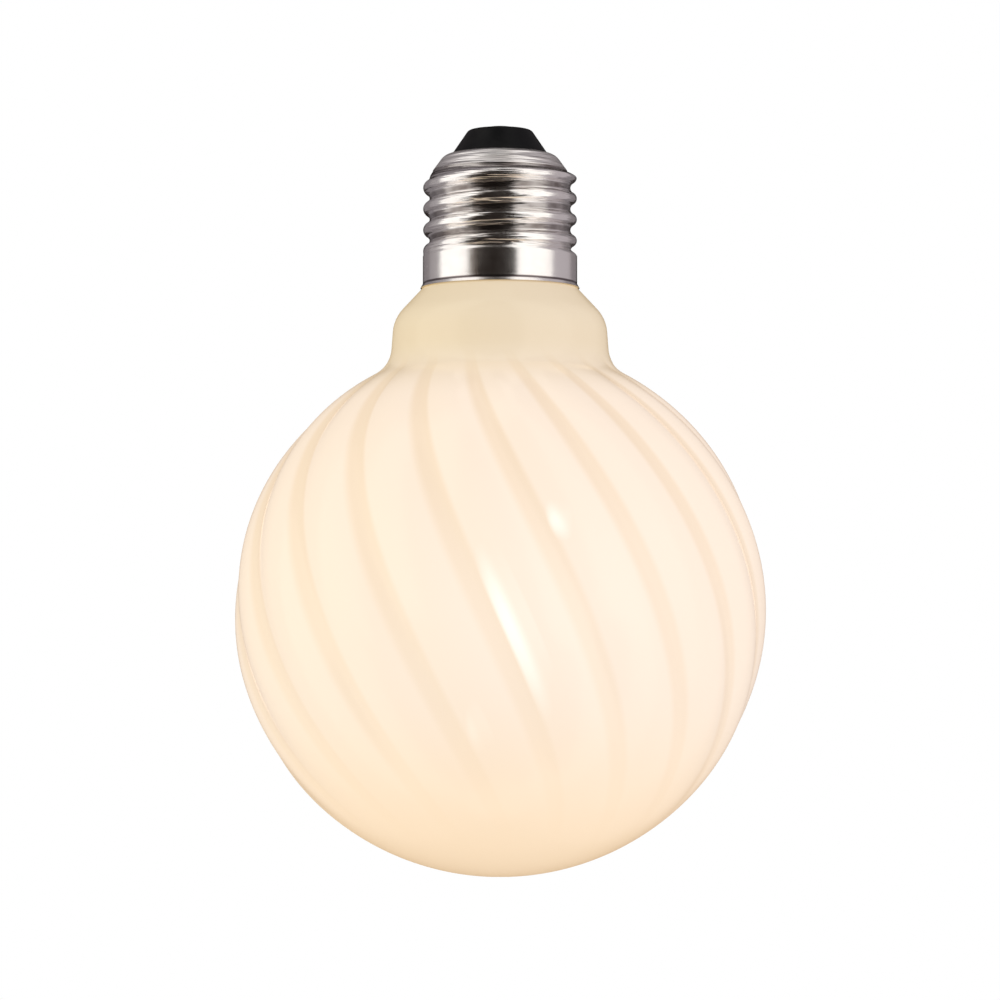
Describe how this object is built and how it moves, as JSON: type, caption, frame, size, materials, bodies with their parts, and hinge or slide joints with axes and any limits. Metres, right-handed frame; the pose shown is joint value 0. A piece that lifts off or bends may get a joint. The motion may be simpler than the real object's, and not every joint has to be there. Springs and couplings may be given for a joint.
{
  "type": "light bulb",
  "caption": "Round light bulb with a swirl-lobed opal glass globe, a short collar and a metal screw cap with a black end insulator and a centre contact.",
  "frame": {"origin": "the middle of the centre contact's flat tip, on the bulb's axis", "axes": "+Z along the bulb's axis, out of the cap and into the lamp holder; the globe hangs towards -Z; -Y faces the picture's viewer"},
  "size_m": [0.0902, 0.09, 0.1281],
  "materials": {
    "opal_glass": "glossy warm-white opal glass",
    "nickel_cap": "bright nickel plate on drawn sheet",
    "black_insulator": "semi-matt black moulding",
    "contact_metal": "dull tin plate"
  },
  "bodies": {
    "root": {"glass_globe": "opal_glass", "screw_shell": "nickel_cap", "end_insulator": "black_insulator", "centre_contact": "contact_metal"}
  },
  "joints": []
}
